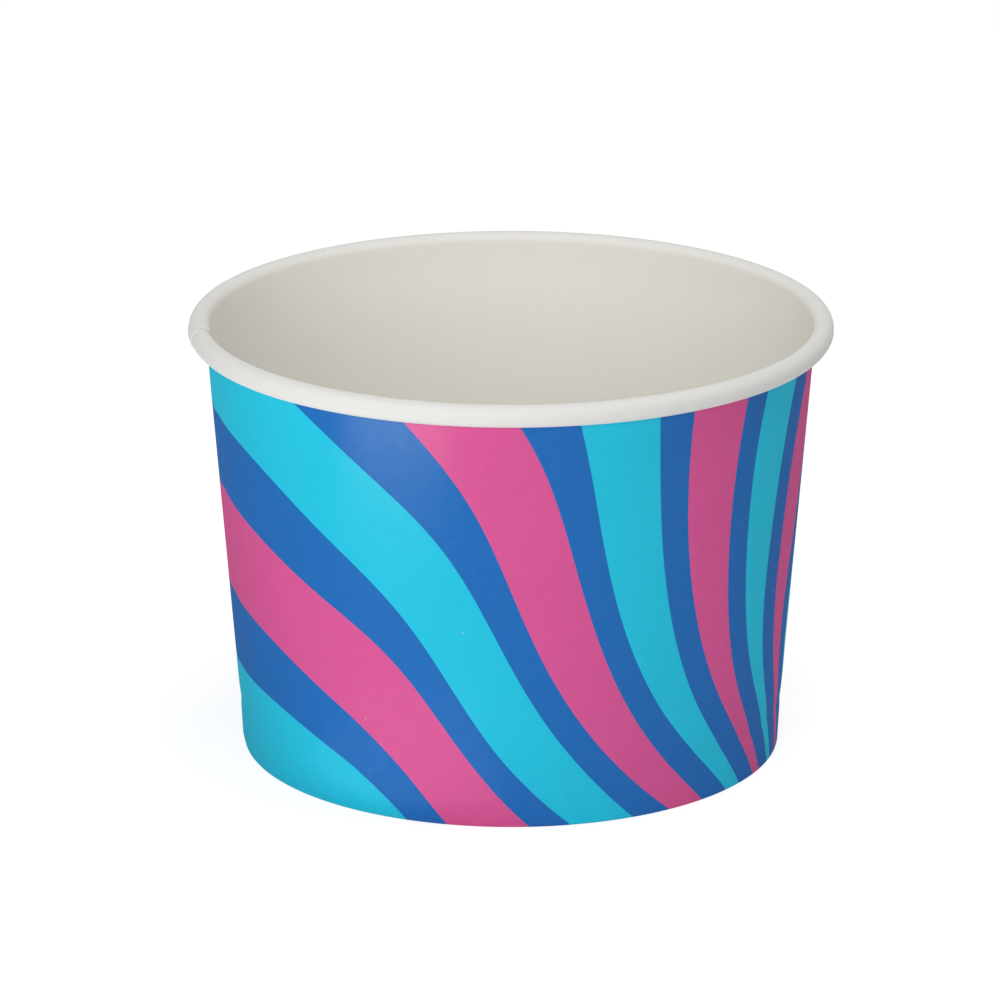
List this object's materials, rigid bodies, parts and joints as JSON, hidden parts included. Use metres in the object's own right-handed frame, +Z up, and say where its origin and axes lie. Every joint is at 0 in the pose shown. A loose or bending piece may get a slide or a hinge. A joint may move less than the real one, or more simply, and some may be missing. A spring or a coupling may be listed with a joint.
{
  "type": "paper dessert cup",
  "caption": "Round tapered paper dessert cup: wrapped board sidewall with a rolled rim and a folded hem that clamps the pressed-in base disc.",
  "frame": {"origin": "centre of the foot ring, on the plane that the cup stands on", "axes": "+Z up along the cup's axis, from the foot to the rim; the side seam runs from 183.6 to 190 degrees round from +X, counter-clockwise seen from above"},
  "size_m": [0.0971, 0.097, 0.0672],
  "materials": {
    "printed_board": "satin varnish over print outside, plain white inside",
    "white_board": "plain white board"
  },
  "bodies": {
    "root": {"sidewall": "printed_board", "base_disc": "white_board"}
  },
  "joints": []
}
